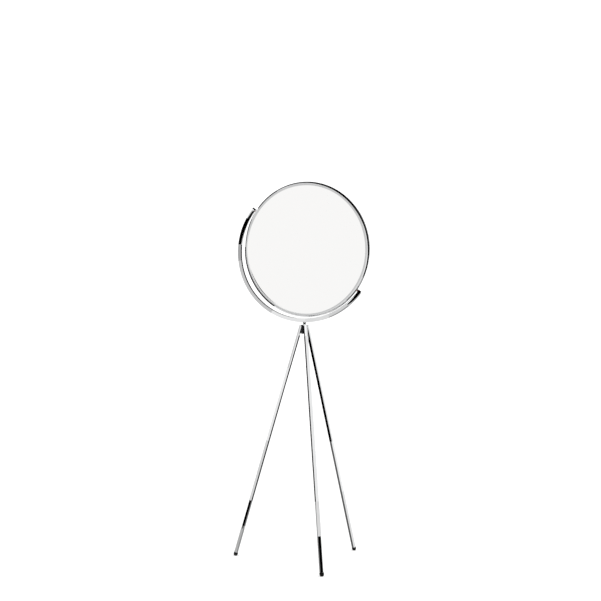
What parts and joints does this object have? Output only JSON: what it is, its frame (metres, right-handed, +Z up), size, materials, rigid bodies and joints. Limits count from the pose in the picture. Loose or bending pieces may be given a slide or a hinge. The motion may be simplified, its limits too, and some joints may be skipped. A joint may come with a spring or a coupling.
{
  "type": "extendable shaving mirror",
  "caption": "Table shaving mirror: a round two-sided mirror that flips in a half hoop, on a swivelling stem and a tripod with telescopic legs.",
  "frame": {"origin": "centre of the footprint's bounding box, on the surface that the feet rest on", "axes": "+Z up along the stem; the hoop lies in the XZ plane, the plain mirror faces -Y, and one foot points along -X"},
  "size_m": [0.2236, 0.2038, 0.5893],
  "materials": {
    "chrome": "polished chrome plate",
    "polished_rod": "polished, drawn tube",
    "steel": "turned, plain",
    "foot_rubber": "matt black",
    "black_plastic": "satin black",
    "nylon": "natural",
    "plain_mirror": "silvered float glass",
    "magnifying_mirror": "silvered bent glass",
    "brass": "turned"
  },
  "bodies": {
    "tripod": {"hub_block": "black_plastic", "thrust_washer": "nylon", "spring_washer": "steel", "leg_rivets": "steel", "leg_tube_1": "chrome", "leg_tube_2": "chrome", "leg_tube_3": "chrome", "leg_plug_1": "steel", "leg_plug_2": "steel", "leg_plug_3": "steel", "leg_bush_1": "nylon", "leg_bush_2": "nylon", "leg_bush_3": "nylon"},
    "leg_1": {"leg_rod_1": "polished_rod", "rod_guide_1": "nylon", "foot_1": "foot_rubber"},
    "leg_2": {"leg_rod_2": "polished_rod", "rod_guide_2": "nylon", "foot_2": "foot_rubber"},
    "leg_3": {"leg_rod_3": "polished_rod", "rod_guide_3": "nylon", "foot_3": "foot_rubber"},
    "hoop": {"stem": "chrome", "stem_nut": "steel", "hoop_tube": "chrome", "hoop_plug_upper": "steel", "hoop_plug_lower": "steel", "pivot_pin_upper": "chrome", "pivot_pin_lower": "chrome", "pivot_washers": "nylon"},
    "mirror": {"rim_front": "chrome", "rim_rear": "chrome", "mirror_plain": "plain_mirror", "mirror_magnifying": "magnifying_mirror", "spacer_ring": "black_plastic", "pivot_socket_upper": "brass", "pivot_socket_lower": "brass"}
  },
  "joints": [
    {"name": "stem_swivel", "type": "hinge", "parent": "tripod", "child": "hoop", "pos_m": [0.00538, 0, 0.3679], "axis": [0, 0, 1], "continuous": true},
    {"name": "mirror_tilt", "type": "hinge", "parent": "hoop", "child": "mirror", "pos_m": [0.00718, 0, 0.4849], "axis": [-0.788, 0, 0.6157], "continuous": true},
    {"name": "leg_1_extend", "type": "slide", "parent": "tripod", "child": "leg_1", "axis": [0.1422, -0.2463, -0.9587], "range_m": [0, 0.2]},
    {"name": "leg_2_extend", "type": "slide", "parent": "tripod", "child": "leg_2", "axis": [0.1422, 0.2463, -0.9587], "range_m": [0, 0.2]},
    {"name": "leg_3_extend", "type": "slide", "parent": "tripod", "child": "leg_3", "axis": [-0.2844, 0, -0.9587], "range_m": [0, 0.2]}
  ]
}
